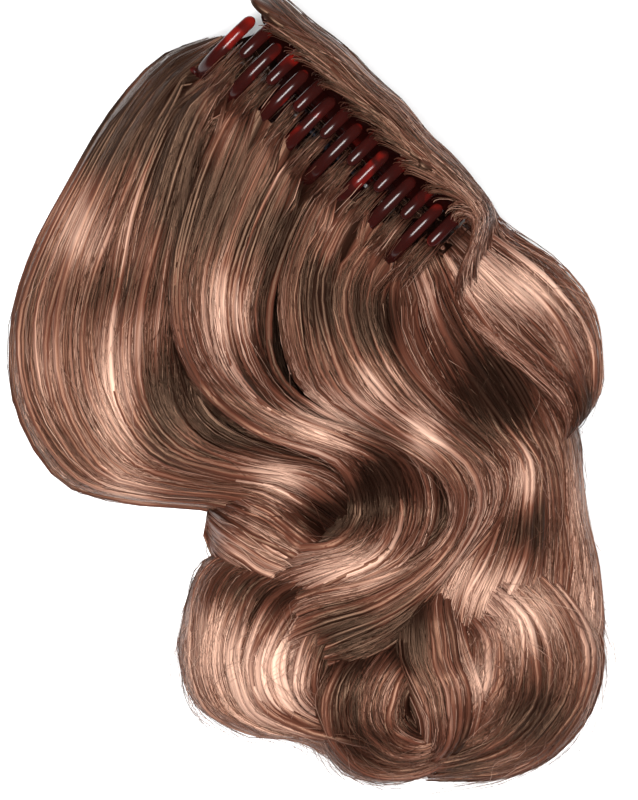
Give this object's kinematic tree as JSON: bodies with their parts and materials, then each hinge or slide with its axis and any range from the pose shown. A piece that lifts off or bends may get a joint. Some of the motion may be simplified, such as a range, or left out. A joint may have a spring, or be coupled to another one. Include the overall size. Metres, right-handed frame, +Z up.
{
  "type": "clip-in ponytail",
  "caption": "Wavy ponytail hairpiece on a sprung claw clip, lying teeth up, with locks swept to one side of the clip.",
  "frame": {"origin": "on the floor under the middle of the fall of hair", "axes": "+X along the clip's hinge towards its end nearest the fall, +Y towards the jaw that opens, +Z up from the floor to the teeth"},
  "size_m": [0.2388, 0.1778, 0.0529],
  "materials": {
    "clip_plastic": "dark translucent brown, polished",
    "steel": "plain spring steel",
    "hair": "glossy mid brown fibre with lighter strands"
  },
  "bodies": {
    "fixed_jaw": {"jaw_a": "clip_plastic", "hinge_pin": "steel", "spring": "steel", "hair_fall": "hair"},
    "moving_jaw": {"jaw_b": "clip_plastic", "hair_cover": "hair"}
  },
  "joints": [
    {"name": "jaw_hinge", "type": "hinge", "parent": "fixed_jaw", "child": "moving_jaw", "pos_m": [-0.05, 0.059, 0.021], "axis": [-1, 0, 0], "range_deg": [0, 30], "stiffness_Nm_per_rad": 0.15, "springref_deg": -28.65}
  ]
}
